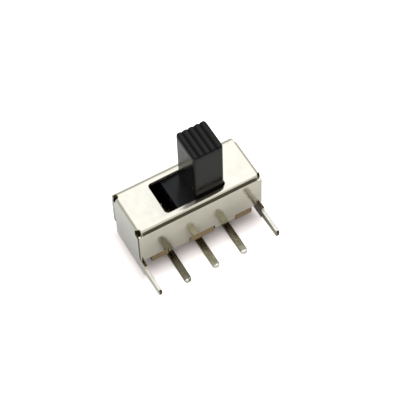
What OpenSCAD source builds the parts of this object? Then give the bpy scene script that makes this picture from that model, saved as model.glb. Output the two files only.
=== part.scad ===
// Miniature right-angle slide switch, one pole and two positions, in millimetres.
// The cover is one folded sheet that holds a slider over a board with a row of
// terminals. Terminals and mounting legs leave the front, towards -Y, so that the
// knob stands parallel to the circuit board. The origin lies on the middle terminal's
// centre line, in the plane of the leg shoulders that seat on the circuit board.

/* [Cover] */
// Length of the cover along the row of terminals
cover_l = 8.5; // [7:0.05:11]
// Width of the cover from its front wall to its back wall
cover_w = 3.6; // [2.9:0.02:5]
// Height of the long walls, from the board to the top face
wall_h = 2.86; // [2.3:0.02:4]
// Thickness of the tinned sheet
sheet = 0.22; // [0.16:0.01:0.28]
// Inside radius of the folds along the long walls
fold_inner_r = 0.16; // [0.04:0.01:0.2]
// Inside radius of the folds at the ends
end_inner_r = 0.03; // [0.02:0.01:0.12]
// Width of the open seam between a long wall and an end plate
seam = 0.12; // [0.04:0.01:0.16]
// Reach of each corner notch into the end plate, past the long fold
notch_reach = 0.28; // [0.14:0.01:0.5]
// Reach of each corner notch into the top face, past the end fold
notch_inset = 0.02; // [0:0.01:0.2]
// Setback of the long fold's end from the end plate, at the bottom of each corner notch
notch_step = 0.18; // [0.05:0.01:0.2]
// Depth of each corner notch below the top face, on the end plate
notch_plate_h = 0.66; // [0.5:0.01:0.8]
// Depth of each corner notch below the top face, on the end of the long fold
notch_wall_h = 0.42; // [0.34:0.01:0.6]

/* [Slot] */
// Gap between the knob and the end of its slot at each stop
stop_gap = 0.05; // [0.04:0.01:0.2]
// Gap between the knob and each side of its slot
side_gap = 0.09; // [0.04:0.01:0.16]
// Corner radius of the slot
slot_r = 0.22; // [0.1:0.01:0.4]

/* [Mounting legs] */
// Reach of the leg shoulders in front of the front wall
shoulder_reach = 0.34; // [0.2:0.01:0.6]
// Height of the shoulders' upper edge below the long walls
shoulder_gap = 0.16; // [0.05:0.01:0.3]
// Reach of the end plates below the board
plate_drop = 0.62; // [0.4:0.01:0.8]
// Corner radius at the lower back of each end plate
plate_r = 0.34; // [0.1:0.01:0.6]
// Corner radius at the lower front of each shoulder
shoulder_r = 0.14; // [0.05:0.01:0.2]
// Length of the legs in front of the shoulders
leg_reach = 1.8; // [1:0.05:3]
// Height of each leg, across the sheet
leg_h = 0.54; // [0.4:0.01:0.6]
// Height of the legs' centre line above the shoulders' lower edge
leg_rise = 0.51; // [0.42:0.01:0.6]
// Length of the chamfers at each leg's tip
leg_chamfer = 0.1; // [0.02:0.01:0.15]

/* [Crimp tabs] */
// Width of each tab that holds the board
tab_w = 1.45; // [1:0.05:1.8]
// Distance between the centres of the two tabs on a wall
tab_pitch = 3.24; // [3.1:0.02:3.6]
// Inside radius of each tab's fold under the board
tab_inner_r = 0.38; // [0.2:0.02:0.46]
// Gap between the tabs' ends and the row of terminals
tab_clear = 0.23; // [0.15:0.01:0.4]

/* [Board] */
// Thickness of the board
board_t = 0.6; // [0.5:0.02:1.2]
// Setback of the board's long edges from the outside of the walls
board_inset = 0.03; // [0:0.01:0.1]
// Length of the notch at each corner of the board
board_notch_l = 0.48; // [0.3:0.02:0.6]
// Depth of the notch at each corner of the board
board_notch_w = 0.5; // [0.4:0.02:0.6]

/* [Terminals] */
// Distance between neighbouring terminals
pitch = 2; // [1.5:0.05:2.5]
// Width of each terminal outside the cover
pin_w = 0.46; // [0.4:0.02:0.6]
// Thickness of the terminals
pin_t = 0.3; // [0.2:0.02:0.36]
// Length of the terminals in front of the shoulders
pin_reach = 1.45; // [1:0.05:3]
// Inside radius of the right-angle bend
pin_bend_r = 0.1; // [0.06:0.01:0.16]
// Height of the board's underside above the terminals' centre line
pin_drop = 1.06; // [0.8:0.01:1.4]
// Width of each contact blade inside the cover
blade_w = 1; // [0.8:0.05:1.2]
// Place of the terminals behind the middle of the cover
blade_back = 0.4; // [0.2:0.02:0.44]

/* [Slider] */
// Length of the knob along its travel
knob_l = 2; // [1.5:0.02:2.4]
// Width of the knob
knob_w = 2.2; // [1.7:0.02:2.6]
// Height of the knob above the cover
knob_h = 4; // [2:0.1:8]
// Radius of the knob's upright edges
knob_r = 0.14; // [0.05:0.01:0.3]
// Number of grip ridges across the knob's end
ridge_count = 5; // [3:1:7]
// Depth of the grooves between the ridges
ridge_depth = 0.1; // [0.05:0.01:0.12]
// Gap between the carrier and the end plate at each stop
carrier_end_gap = 0.83; // [0.2:0.01:0.9]
// Thickness of the carrier's roof over the contact clip
carrier_roof = 0.52; // [0.4:0.02:0.64]
// Radius of the carrier's long upper edges, which run inside the cover's folds
carrier_edge_r = 0.1; // [0.06:0.01:0.16]

/* [Contact clip] */
// Setback of the clip's ends from the outer edges of the two blades it bridges
clip_setback = 0.05; // [0:0.01:0.2]
// Gap between the clip's back and the blades' tips
clip_back_gap = 0.45; // [0.2:0.01:0.6]
// Thickness of the clip's strip
clip_t = 0.12; // [0.08:0.01:0.14]
// Distance that the clip's arms reach down past the blades' tips
clip_grip = 0.85; // [0.6:0.05:1]
// Outside radius of the contact bumps pressed into the arms
bump_r = 0.3; // [0.24:0.01:0.36]
// Height of the bumps above the arms
bump_h = 0.06; // [0.04:0.01:0.08]

/* [Clearances] */
// Gap between the slider and what it runs in
slide_gap = 0.05; // [0.03:0.01:0.06]
// Gap between the clip's bumps and the blades
contact_gap = 0.03; // [0.02:0.01:0.04]
// Gap round each piece that is pressed into its seat
press_gap = 0.01; // [0.005:0.005:0.02]
// Gap between a crimp tab and the sides of its notch in the board
tab_gap = 0.04; // [0.02:0.01:0.08]

/* [Hidden] */
$fn = 64;
// Extra length that lets one cut or joint run past a face
over = 0.1;
// Heights, from the terminals' centre line upwards
board_z0 = pin_drop;
board_z1 = board_z0 + board_t;
top_z = board_z1 + wall_h;
plate_z0 = board_z0 - plate_drop;
leg_z = plate_z0 + leg_rise;
carrier_z1 = top_z - sheet - slide_gap;
clip_z1 = carrier_z1 - carrier_roof;
blade_z1 = clip_z1 - clip_t - clip_back_gap;
// Places from front to back
mid_y = shoulder_reach + cover_w / 2;
blade_y = mid_y + blade_back;
// Folds and insides of the cover
fold_r = sheet + fold_inner_r;
end_r = sheet + end_inner_r;
notch_w = fold_r + notch_reach;
notch_l = end_r + notch_inset;
tab_fold_r = sheet + tab_inner_r;
tab_lap = cover_w / 2 - tab_fold_r - blade_back - pin_t / 2 - tab_clear;
inner_l = cover_l - 2 * sheet;
inner_w = cover_w - 2 * sheet;
plate_w = inner_w - 2 * seam;
board_l = inner_l - 2 * press_gap;
board_w = cover_w - 2 * board_inset;
// The knob moves by one pitch, and its slot lets it reach both stops
travel = pitch;
slot_l = knob_l + travel + 2 * stop_gap;
slot_w = knob_w + 2 * side_gap;
carrier_l = inner_l - travel - 2 * carrier_end_gap;
clip_l = pitch + blade_w - 2 * clip_setback;
// The clip's arms stand clear of the blades by the bumps and the contact gap
arm_y = pin_t / 2 + contact_gap + bump_h;
clip_w = 2 * (arm_y + clip_t);
ridge_pitch = knob_l / ridge_count;
// Radius whose arc rises ridge_depth over one ridge
ridge_r = (pow(ridge_pitch / 2, 2) + pow(ridge_depth, 2)) / (2 * ridge_depth);

// Rectangle about the origin with round corners
module round_rect(l, w, r) {
    square([l - 2 * r, w], center = true);
    square([l, w - 2 * r], center = true);
    for (x = [-1, 1], y = [-1, 1])
        translate([x * (l / 2 - r), y * (w / 2 - r)]) circle(r);
}

// Upright outline of a wall-to-wall section, with its two upper corners round
module fold_outline(w, h, r) {
    translate([-w / 2, 0]) square([w, h - r]);
    translate([-w / 2 + r, 0]) square([w - 2 * r, h]);
    for (x = [-1, 1]) translate([x * (w / 2 - r), h - r]) circle(r);
}

// Block over the board whose upper edges are round: the long ones to r, those at the ends to r_end
module folded_block(l, w, h, r, r_end) {
    intersection() {
        translate([-l / 2, 0, 0]) rotate([90, 0, 90]) linear_extrude(l) fold_outline(w, h, r);
        translate([0, w / 2, 0]) rotate([90, 0, 0]) linear_extrude(w) fold_outline(l, h, r_end);
    }
}

// Sheet shell with its folds: the top face, the long walls and the end plates' upper part
module cover_shell() {
    translate([0, mid_y, board_z1]) difference() {
        folded_block(cover_l, cover_w, wall_h, fold_r, end_r);
        translate([0, 0, -over])
            folded_block(inner_l, inner_w, wall_h - sheet + over, fold_inner_r, end_inner_r);
    }
}

// Side view of one end plate below the walls, with its shoulder and leg
module plate_outline() {
    plate_y0 = mid_y - plate_w / 2;
    plate_y1 = mid_y + plate_w / 2;
    leg_z0 = leg_z - leg_h / 2;
    shoulder_z1 = board_z1 - shoulder_gap;
    translate([plate_y0, plate_z0 + plate_r]) square([plate_w, board_z1 + over - plate_z0 - plate_r]);
    translate([plate_y0, plate_z0]) square([plate_w - plate_r, plate_r + over]);
    translate([plate_y1 - plate_r, plate_z0 + plate_r]) circle(plate_r);
    translate([0, plate_z0 + shoulder_r])
        square([plate_y0 + over, shoulder_z1 - plate_z0 - shoulder_r]);
    translate([shoulder_r, plate_z0]) square([plate_y0 + over - shoulder_r, shoulder_r + over]);
    translate([shoulder_r, plate_z0 + shoulder_r]) circle(shoulder_r);
    polygon([[over, leg_z0], [over, leg_z0 + leg_h],
             [leg_chamfer - leg_reach, leg_z0 + leg_h],
             [-leg_reach, leg_z0 + leg_h - leg_chamfer],
             [-leg_reach, leg_z0 + leg_chamfer],
             [leg_chamfer - leg_reach, leg_z0]]);
}

module end_plate() {
    translate([cover_l / 2 - sheet, 0, 0]) rotate([90, 0, 90]) linear_extrude(sheet) plate_outline();
}

// One crimp tab of the back wall: down the wall, round its fold and flat under the board
module crimp_tab() {
    fold_y = cover_w / 2 - tab_fold_r;
    fold_z = board_z0 - sheet + tab_fold_r;
    translate([-tab_w / 2, 0, 0]) rotate([90, 0, 90]) linear_extrude(tab_w) {
        translate([cover_w / 2 - sheet, fold_z]) square([sheet, board_z1 + over - fold_z]);
        translate([fold_y, fold_z]) intersection() {
            difference() {
                circle(tab_fold_r);
                circle(tab_fold_r - sheet);
            }
            translate([0, -tab_fold_r]) square(tab_fold_r);
        }
        translate([fold_y - tab_lap, board_z0 - sheet]) square([tab_lap, sheet]);
    }
}

// Material that the fold blank lacks at one top corner, where two folds meet
module corner_notch() {
    corner_y = cover_w / 2;
    // The long fold's end, cut back down to the notch's floor
    translate([cover_l / 2, corner_y + over, top_z]) rotate([90, 0, 0])
        linear_extrude(fold_r + over)
            polygon([[-notch_l, over], [-notch_l, 0], [-notch_step, -notch_wall_h],
                     [over, -notch_wall_h], [over, over]]);
    // The end plate's corner: a slant across the end fold, and a square notch below it
    translate([cover_l / 2 - notch_l, corner_y, top_z]) rotate([90, 0, 90])
        linear_extrude(notch_l + over)
            polygon([[-fold_r, 0], [-notch_w, -end_r], [-notch_w, -notch_plate_h],
                     [-sheet, -notch_plate_h], [-sheet, -fold_r], [-fold_r, -fold_r]]);
}

// Open seam between one long wall and one end plate
module corner_seam() {
    translate([cover_l / 2 - sheet - over, inner_w / 2 - seam, board_z1 - over])
        cube([sheet + 2 * over, seam, wall_h + over - notch_plate_h + seam]);
}

module knob_slot() {
    translate([0, mid_y, top_z - sheet - over])
        linear_extrude(sheet + 2 * over) round_rect(slot_l, slot_w, slot_r);
}

// The cover: one folded sheet with two long walls, two end plates with legs, and four tabs
module cover() {
    color("gainsboro") difference() {
        union() {
            cover_shell();
            for (side = [0, 1]) mirror([side, 0, 0]) end_plate();
            for (x = [-1, 1], side = [0, 1])
                translate([x * tab_pitch / 2, mid_y, 0]) mirror([0, side, 0]) crimp_tab();
        }
        knob_slot();
        for (a = [0, 1], b = [0, 1])
            translate([0, mid_y, 0]) mirror([a, 0, 0]) mirror([0, b, 0]) {
                corner_notch();
                corner_seam();
            }
    }
}

// The board: a laminate plate with notched corners, tab notches and terminal slots
module board() {
    tab_notch_w = tab_fold_r - board_inset + press_gap;
    tab_notch_l = tab_w + 2 * tab_gap;
    color("peru") translate([0, mid_y, board_z0]) linear_extrude(board_t) difference() {
        square([board_l, board_w], center = true);
        for (a = [0, 1], b = [0, 1]) mirror([a, 0]) mirror([0, b]) {
            translate([board_l / 2 - board_notch_l, board_w / 2 - board_notch_w])
                square([board_notch_l + over, board_notch_w + over]);
            translate([(tab_pitch - tab_notch_l) / 2, board_w / 2 - tab_notch_w])
                square([tab_notch_l, tab_notch_w + over]);
        }
        for (i = [-1, 0, 1])
            translate([i * pitch, blade_back])
                square([pin_w + 2 * press_gap, pin_t + 2 * press_gap], center = true);
    }
}

// Side view of a terminal strip: up through the board, and forward at the bend
module terminal_profile() {
    bend_y = blade_y - pin_t / 2 - pin_bend_r;
    bend_z = pin_t / 2 + pin_bend_r;
    translate([blade_y - pin_t / 2, bend_z]) square([pin_t, blade_z1 - bend_z]);
    translate([bend_y, bend_z]) intersection() {
        difference() {
            circle(pin_bend_r + pin_t);
            circle(pin_bend_r);
        }
        translate([0, -pin_bend_r - pin_t]) square(pin_bend_r + pin_t);
    }
    translate([-pin_reach, -pin_t / 2]) square([pin_reach + bend_y, pin_t]);
}

// Front view of a terminal: a broad blade on the board and a narrow strip below it
module terminal_front() {
    translate([-blade_w / 2, board_z1]) square([blade_w, blade_z1 - board_z1]);
    translate([-pin_w / 2, -pin_t]) square([pin_w, board_z1 + pin_t]);
}

// Outline of a terminal from above, with a half-round tip
module terminal_plan() {
    tip_y = pin_w / 2 - pin_reach;
    translate([-pin_w / 2, tip_y]) square([pin_w, blade_y - tip_y]);
    translate([0, tip_y]) circle(pin_w / 2);
    translate([-blade_w / 2, blade_y - pin_t]) square([blade_w, 2 * pin_t]);
}

// One terminal: a stamped strip with a contact blade, bent forward under the board
module terminal(x) {
    color("darkkhaki") translate([x, 0, 0]) intersection() {
        translate([-blade_w / 2, 0, 0]) rotate([90, 0, 90]) linear_extrude(blade_w) terminal_profile();
        translate([0, blade_y + pin_t, 0]) rotate([90, 0, 0])
            linear_extrude(blade_y + pin_reach + 2 * pin_t) terminal_front();
        translate([0, 0, -pin_t]) linear_extrude(blade_z1 + 2 * pin_t) terminal_plan();
    }
}

module terminal_left() { terminal(-pitch); }
module terminal_middle() { terminal(0); }
module terminal_right() { terminal(pitch); }

// End view of the knob's grip: round ridges side by side
module ridge_outline(z0, z1) {
    translate([-knob_l / 2, z0]) square([knob_l, z1 - z0 - ridge_depth]);
    for (i = [0:ridge_count - 1])
        translate([(i + 0.5) * ridge_pitch - knob_l / 2, z1 - ridge_r]) intersection() {
            circle(ridge_r);
            translate([-ridge_pitch / 2, 0]) square([ridge_pitch, ridge_r]);
        }
}

// The slider: a channel-shaped carrier with the knob on its roof, at the right-hand stop
module slider() {
    carrier_w = inner_w - 2 * slide_gap;
    carrier_z0 = board_z1 + 2 * slide_gap;
    carrier_h = carrier_z1 - carrier_z0;
    passage_z1 = blade_z1 + 2 * slide_gap;
    knob_z1 = top_z + knob_h;
    color("dimgray") translate([travel / 2, 0, 0]) difference() {
        union() {
            translate([0, mid_y, carrier_z0]) intersection() {
                linear_extrude(carrier_h) round_rect(carrier_l, carrier_w, knob_r);
                translate([-carrier_l / 2, 0, 0]) rotate([90, 0, 90])
                    linear_extrude(carrier_l) fold_outline(carrier_w, carrier_h, carrier_edge_r);
            }
            intersection() {
                translate([0, mid_y, carrier_z0]) linear_extrude(knob_z1 - carrier_z0)
                    round_rect(knob_l, knob_w, knob_r);
                translate([0, mid_y + knob_w / 2, 0]) rotate([90, 0, 0])
                    linear_extrude(knob_w) ridge_outline(carrier_z0, knob_z1);
            }
        }
        // Passage for the blades, right along the carrier
        translate([-carrier_l / 2 - over, blade_y - pin_t / 2 - 2 * slide_gap, carrier_z0 - over])
            cube([carrier_l + 2 * over, pin_t + 4 * slide_gap, passage_z1 - carrier_z0 + over]);
        // Pocket that traps the contact clip
        translate([-clip_l / 2 - press_gap, blade_y - clip_w / 2 - slide_gap, carrier_z0 - over])
            cube([clip_l + 2 * press_gap, clip_w + 2 * slide_gap, clip_z1 - carrier_z0 + over]);
    }
}

// Plan view of the clip's arm on the +Y side, with three pressed bumps that face the blades
module arm_plan() {
    difference() {
        union() {
            translate([-clip_l / 2, arm_y]) square([clip_l, clip_t]);
            for (i = [-1, 0, 1])
                translate([i * pitch / 2, arm_y - bump_h + bump_r]) intersection() {
                    circle(bump_r);
                    translate([-bump_r, -bump_r]) square([2 * bump_r, bump_h + clip_t]);
                }
        }
        for (i = [-1, 0, 1])
            translate([i * pitch / 2, arm_y - bump_h + bump_r]) circle(bump_r - clip_t);
    }
}

// The contact clip: a spring strip folded to a channel that grips two blades at a time
module contact_clip() {
    arm_z0 = blade_z1 - clip_grip;
    color("goldenrod") translate([travel / 2, blade_y, 0]) {
        for (side = [0, 1]) mirror([0, side, 0])
            translate([0, 0, arm_z0]) linear_extrude(clip_z1 - arm_z0) arm_plan();
        translate([-clip_l / 2, -arm_y - clip_t, clip_z1 - clip_t]) cube([clip_l, clip_w, clip_t]);
    }
}

cover();
board();
terminal_left();
terminal_middle();
terminal_right();
slider();
contact_clip();
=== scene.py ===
"""Looks of a miniature right-angle slide switch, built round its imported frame."""
import math
import bmesh
import bpy
from mathutils import Matrix, Vector


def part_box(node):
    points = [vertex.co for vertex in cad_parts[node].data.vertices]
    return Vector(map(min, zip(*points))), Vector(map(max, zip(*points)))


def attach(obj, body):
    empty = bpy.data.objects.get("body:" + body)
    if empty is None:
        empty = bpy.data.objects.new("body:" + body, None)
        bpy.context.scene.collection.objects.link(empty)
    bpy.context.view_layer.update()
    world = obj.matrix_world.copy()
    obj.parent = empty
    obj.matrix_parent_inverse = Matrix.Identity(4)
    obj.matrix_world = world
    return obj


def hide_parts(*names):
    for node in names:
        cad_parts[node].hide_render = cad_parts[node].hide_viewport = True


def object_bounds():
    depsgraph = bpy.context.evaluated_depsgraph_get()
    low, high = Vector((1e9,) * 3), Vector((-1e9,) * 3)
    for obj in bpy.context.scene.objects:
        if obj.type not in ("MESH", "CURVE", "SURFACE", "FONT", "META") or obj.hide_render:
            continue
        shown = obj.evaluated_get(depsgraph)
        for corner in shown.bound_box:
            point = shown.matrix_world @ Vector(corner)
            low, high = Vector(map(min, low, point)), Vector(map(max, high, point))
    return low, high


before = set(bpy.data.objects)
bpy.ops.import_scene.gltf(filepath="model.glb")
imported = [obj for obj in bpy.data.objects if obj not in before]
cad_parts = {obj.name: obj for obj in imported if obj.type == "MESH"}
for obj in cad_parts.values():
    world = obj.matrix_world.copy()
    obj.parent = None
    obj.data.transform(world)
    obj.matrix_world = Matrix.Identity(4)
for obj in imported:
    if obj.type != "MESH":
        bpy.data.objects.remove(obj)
cad_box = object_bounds()
scene = bpy.context.scene
MM = 0.001
QUARTER = math.pi / 2


def millimetres(corner):
    """A corner of a packed box, in millimetres."""
    return corner[0] / MM, corner[1] / MM, corner[2] / MM


# -------------------- sizes, in millimetres

COVER_LOW = millimetres(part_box("cover")[0])
COVER_HIGH = millimetres(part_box("cover")[1])
BOARD_LOW = millimetres(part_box("board")[0])
BOARD_HIGH = millimetres(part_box("board")[1])
PIN_LOW = millimetres(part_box("terminal_middle")[0])
PIN_HIGH = millimetres(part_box("terminal_middle")[1])
SLIDER_LOW = millimetres(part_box("slider")[0])
SLIDER_HIGH = millimetres(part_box("slider")[1])

# Cover: one folded sheet. FOLD_R is the outer radius of its long folds, and END_R that of its ends
COVER_L = COVER_HIGH[0] - COVER_LOW[0]
COVER_FRONT = 0.34
COVER_W = COVER_HIGH[1] - COVER_FRONT
HALF_L = COVER_L / 2
HALF_W = COVER_W / 2
MID_Y = COVER_FRONT + HALF_W
TOP_Z = COVER_HIGH[2]
SHEET = 0.22
FOLD_R = 0.38
END_R = 0.25

# End plates, between the long walls
PLATE_Z = COVER_LOW[2]
SEAM = 0.12
BACK_SEAM = 0.05
PLATE_W = COVER_W - 2 * SHEET - 2 * SEAM
PLATE_R = 0.34

# Mounting legs, and the end plates' shoulders above and below them
SHOULDER_TOP_GAP = 0.16
SHOULDER_R = 0.14
LEG_RISE = 0.51
LEG_Z = PLATE_Z + LEG_RISE
LEG_H = 0.54
LEG_TIP_Y = COVER_LOW[1]
LEG_CHAMFER = 0.1

# Tabs, two below each long wall, rolled under the board
TAB_W = 1.45
TAB_PITCH = 3.24
TAB_R = 0.6
TAB_LAP = 0.42

# Slot in the top face
SLOT_L = 4.1
SLOT_W = 2.38
SLOT_R = 0.22

# Notches at the ends of the long folds: L is a notch's length along the fold, and W and H are its
# width and height on the end plate. The wall's end stands back by STEP, down to WALL_H below the
# top. The press tore each corner a little differently
NOTCH_L = 0.27
NOTCH_STEP = 0.18
NOTCH_WALL_H = 0.42
LEFT_NOTCH_W = 0.66
LEFT_NOTCH_H = 0.66
RIGHT_NOTCH_L = 0.15
RIGHT_NOTCH_STEP = 0.36
RIGHT_NOTCH_W = 0.36
RIGHT_NOTCH_H = 0.36
RIGHT_NOTCH_LEAN = 0.15
RIGHT_WALL_H = 0.4
BACK_NOTCH_W = 0.52
BACK_NOTCH_H = 0.46

# At the back left corner a slit leaves a narrow ear of the fold. V is measured round the fold
BACK_EAR_L = 0.11
BACK_EAR_V = 0.2
BACK_SLIT_L = 0.26
BACK_SLIT_V = 0.38

# How far the notches' edges rise along a wall's end, run aslant, go past the fold on to the top,
# and run out down the end plate to the seam
STEP_RISE = 0.04
SLANT = 0.02
PAST_FOLD = 0.02
RUN_OUT = 0.08

# The long walls roll inwards a little towards their ends
END_ROLL = 0.24
END_ROLL_DEPTH = 0.02
# At the corners, points of the blank this far past the cover's end are on an end plate
PLATE_FROM = 0.04

# Radii that shears and punches leave at the corners of outlines
CRISP_R = 0.04
SHARP_R = 0.05
NOTCH_R = 0.06
STEP_R = 0.08
TAB_CORNER_R = 0.1
DEEP_NOTCH_R = 0.12
BLADE_CORNER_R = 0.12
PIN_TIP_R = 0.2

# Board
BOARD_Z0 = BOARD_LOW[2]
BOARD_Z1 = BOARD_HIGH[2]
BOARD_L = BOARD_HIGH[0] - BOARD_LOW[0]
BOARD_W = BOARD_HIGH[1] - BOARD_LOW[1]
BOARD_NOTCH_L = 0.48
BOARD_NOTCH_W = 0.5
TAB_NOTCH_L = 1.53
TAB_NOTCH_W = 0.58
PIN_PLAY = 0.01

# Terminals: flat strips, each with a pin in front and a broader blade that stands up inside
PITCH = 2.0
PIN_W = 0.46
PIN_T = 0.3
PIN_TIP_Y = PIN_LOW[1]
PIN_BEND_R = 0.1
BLADE_W = PIN_HIGH[0] - PIN_LOW[0]
BLADE_Y = PIN_HIGH[1] - PIN_T / 2
BLADE_Z = PIN_HIGH[2]

# Slider, at its right-hand stop: a ridged knob on a carrier that runs below the cover
KNOB_L = 2.0
KNOB_W = 2.2
KNOB_R = 0.16
KNOB_X = (SLIDER_LOW[0] + SLIDER_HIGH[0]) / 2
KNOB_Z = SLIDER_HIGH[2]
KNOB_FILLET = 0.1
KNOB_RIM = 0.45
RIDGES = 5
RIDGE_DEPTH = 0.1
CARRIER_GAP = 0.05
CARRIER_L = SLIDER_HIGH[0] - SLIDER_LOW[0]
CARRIER_W = SLIDER_HIGH[1] - SLIDER_LOW[1]
CARRIER_Z0 = SLIDER_LOW[2]
CARRIER_Z1 = TOP_Z - SHEET - CARRIER_GAP
CARRIER_CHAMFER = 0.06
# The chamfer's middle edge lies at this share of its size from both faces
CHAMFER_CROWN = 0.3
# The knob's block runs from above the carrier's top to below it, to join with it
JOIN_ABOVE = 0.1
JOIN_BELOW = 0.2

# Hollows in the carrier: a passage for the blades, and a pocket for the contact clip
BLADE_GAP = 0.1
PASSAGE_HALF = 0.25
PASSAGE_Z = BLADE_Z + BLADE_GAP
POCKET_L = 2.92
POCKET_HALF = 0.41
POCKET_ROOF = 0.52
POCKET_Z = CARRIER_Z1 - POCKET_ROOF
# A core is this much longer or deeper than what it cuts through
CORE_EXCESS = 1

# Pieces in each arc
LONG_FOLD_STEPS = 10
FOLD_STEPS = 8
END_ROLL_STEPS = 5
RIDGE_STEPS = 8
KNOB_CORNER_STEPS = 6
CARRIER_CORNER_STEPS = 5
LEAST_STEPS = 3
# Length of one piece of an outline's round corner
CORNER_PIECE = 0.04
PIN_CORNER_PIECE = 0.03

# Materials of a folded sheet, in the order of its slots
OUTSIDE, INSIDE, CUT, SHADED_CUT = range(4)

# Section of the cover's sheared edge, from the outer face to the inner one. Each ring of points
# has its distance in from the outline, its depth, and the material of the faces that end there
COVER_EDGE = [(0.04, 0, OUTSIDE), (0.026, 0.003, OUTSIDE), (0.01, 0.012, OUTSIDE),
              (0, 0.03, OUTSIDE), (0, SHEET - 0.012, CUT), (0.01, SHEET, CUT)]
# The outer halves of edges that are alike on both faces: distance in and depth
BOARD_HALF_EDGE = [(0.012, 0), (0, 0.015)]
PIN_HALF_EDGE = [(0.07, 0), (0.035, 0.01), (0.01, 0.035), (0, 0.07)]


# -------------------- colours

TIN = (0.63, 0.605, 0.515)
TIN_CLOUD = (0.59, 0.565, 0.477)
# Painted shade: the cover's inside faces are the same tin as the outside, painted about half as bright
SHADED_INNER_TIN = (0.30, 0.28, 0.22)
SHADED_INNER_TIN_CLOUD = (0.22, 0.2, 0.155)
# Painted shade: the near-black that the cover's inside faces darken to towards the back
INSIDE_SHADE = (0.03, 0.026, 0.016)
STEEL = (0.95, 0.93, 0.86)
TORN_STEEL = (0.78, 0.75, 0.66)
# Painted shade: dark steel for cut edges that lie in shade, at the notches, the front seams and the leg
# tips
SHADED_STEEL = (0.16, 0.12, 0.075)
SHADED_TORN_STEEL = (0.07, 0.05, 0.03)
# Painted shade: the dark browns that the terminals take towards their roots at the board
SHADED_DARK_BRASS = (0.15, 0.115, 0.07)
SHADED_BRASS = (0.22, 0.18, 0.12)
# The next two are multiplied by a strip's own grey
PLATING_BLOT = (0.74, 0.72, 0.55)
PLATING = (1.0, 0.98, 0.76)
RUBBED_PLATING = (0.72, 0.68, 0.52)
SOLDER = (0.93, 0.92, 0.90)
BRONZE = (0.70, 0.64, 0.50)
BRONZE_CLOUD = (0.60, 0.54, 0.40)
LAMINATE = (0.2, 0.135, 0.062)
LAMINATE_CLOUD = (0.265, 0.185, 0.09)
LAMINATE_LAYER = (0.34, 0.27, 0.13)
LAMINATE_FLECK = (0.13, 0.08, 0.04)
BLACK = (0.0045, 0.0045, 0.005)
BLACK_CLOUD = (0.007, 0.007, 0.0065)
RUBBED_BLACK = (0.03, 0.03, 0.03)
DUST_GREY = (0.16, 0.15, 0.13)
# The paper and the light that it adds, as the camera sees them and as reflections do
PAPER = (0.82, 0.765, 0.745)
PAPER_GLOW = (1, 0.955, 0.95)
MIRRORED_PAPER = (0.79, 0.775, 0.745)
MIRRORED_COOL_PAPER = (0.765, 0.78, 0.83)
MIRRORED_GLOW = (0.88, 0.93, 0.93)
CARD = (0.1, 0.09, 0.072)
AIR = (1, 1, 1)
MIRRORED_AIR = (1, 0.99, 0.93)
SOFTBOX_COLOUR = (0.77, 0.83, 1)


# -------------------- outlines and stamped sheets

# Corners more open than this angle, in radians, count as straight, and a round corner takes up
# at most this share of the shorter of its two sides
STRAIGHT = 3.1
SIDE_SHARE = 0.48
# Points this close are one, and edges this short are dissolved
SAME_POINT = 1e-5
SLIVER = 1e-4


def rounded_outline(corners, piece=CORNER_PIECE):
    """Points round an outline whose corners are (x, y, radius)."""
    points = []
    count = len(corners)
    for i, (x, y, radius) in enumerate(corners):
        here = Vector((x, y))
        before = Vector(corners[i - 1][:2]) - here
        after = Vector(corners[(i + 1) % count][:2]) - here
        angle = before.angle(after)
        if radius <= 0 or angle > STRAIGHT:
            points.append(here)
            continue
        room = SIDE_SHARE * min(before.length, after.length)
        tangent = min(radius / math.tan(angle / 2), room)
        radius = tangent * math.tan(angle / 2)
        before.normalize()
        after.normalize()
        centre = here + (before + after).normalized() * radius / math.sin(angle / 2)
        start = here + before * tangent - centre
        sweep = start.angle_signed(here + after * tangent - centre)
        pieces = max(LEAST_STEPS, math.ceil(radius * abs(sweep) / piece))
        for k in range(pieces + 1):
            points.append(centre + Matrix.Rotation(-sweep * k / pieces, 2) @ start)
    return points


def inset(points, distance):
    """The same outline moved to its left by a distance, which is into the sheet."""
    moved = []
    count = len(points)
    for i, point in enumerate(points):
        first = (point - points[i - 1]).normalized()
        second = (points[(i + 1) % count] - point).normalized()
        n1 = Vector((-first.y, first.x))
        n2 = Vector((-second.y, second.x))
        moved.append(point + (n1 + n2) * distance / (1 + n1.dot(n2)))
    return moved


def both_faces(half_edge, thickness):
    """The section of an edge that is alike on both faces of its sheet."""
    outer = [(distance, depth, OUTSIDE) for distance, depth in half_edge]
    inner = [(distance, thickness - depth, OUTSIDE) for distance, depth in reversed(half_edge)]
    return outer + inner


def stamp(outlines, edge):
    """A flat blank as stamped from sheet. The first outline runs anticlockwise round it and
    the others clockwise round its holes. The edge is a section as COVER_EDGE is."""
    bm = bmesh.new()
    outer_edges = []
    inner_edges = []
    for outline in outlines:
        rings = []
        for distance, depth, _ in edge:
            ring = [bm.verts.new((p.x, p.y, -depth)) for p in inset(outline, distance)]
            rings.append(ring)
        count = len(outline)
        for k in range(len(rings) - 1):
            for i in range(count):
                j = (i + 1) % count
                face = bm.faces.new((rings[k + 1][i], rings[k + 1][j], rings[k][j], rings[k][i]))
                face.material_index = edge[k + 1][2]
        for i in range(count):
            outer_edges.append(bm.edges.get((rings[0][i], rings[0][(i + 1) % count])))
            inner_edges.append(bm.edges.get((rings[-1][i], rings[-1][(i + 1) % count])))
    for edges, material, up in ((outer_edges, OUTSIDE, 1), (inner_edges, INSIDE, -1)):
        filled = bmesh.ops.triangle_fill(bm, use_beauty=True, edges=edges, normal=(0, 0, up))
        for face in filled["geom"]:
            if isinstance(face, bmesh.types.BMFace):
                face.material_index = material
    bmesh.ops.recalc_face_normals(bm, faces=bm.faces[:])
    return bm


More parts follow.
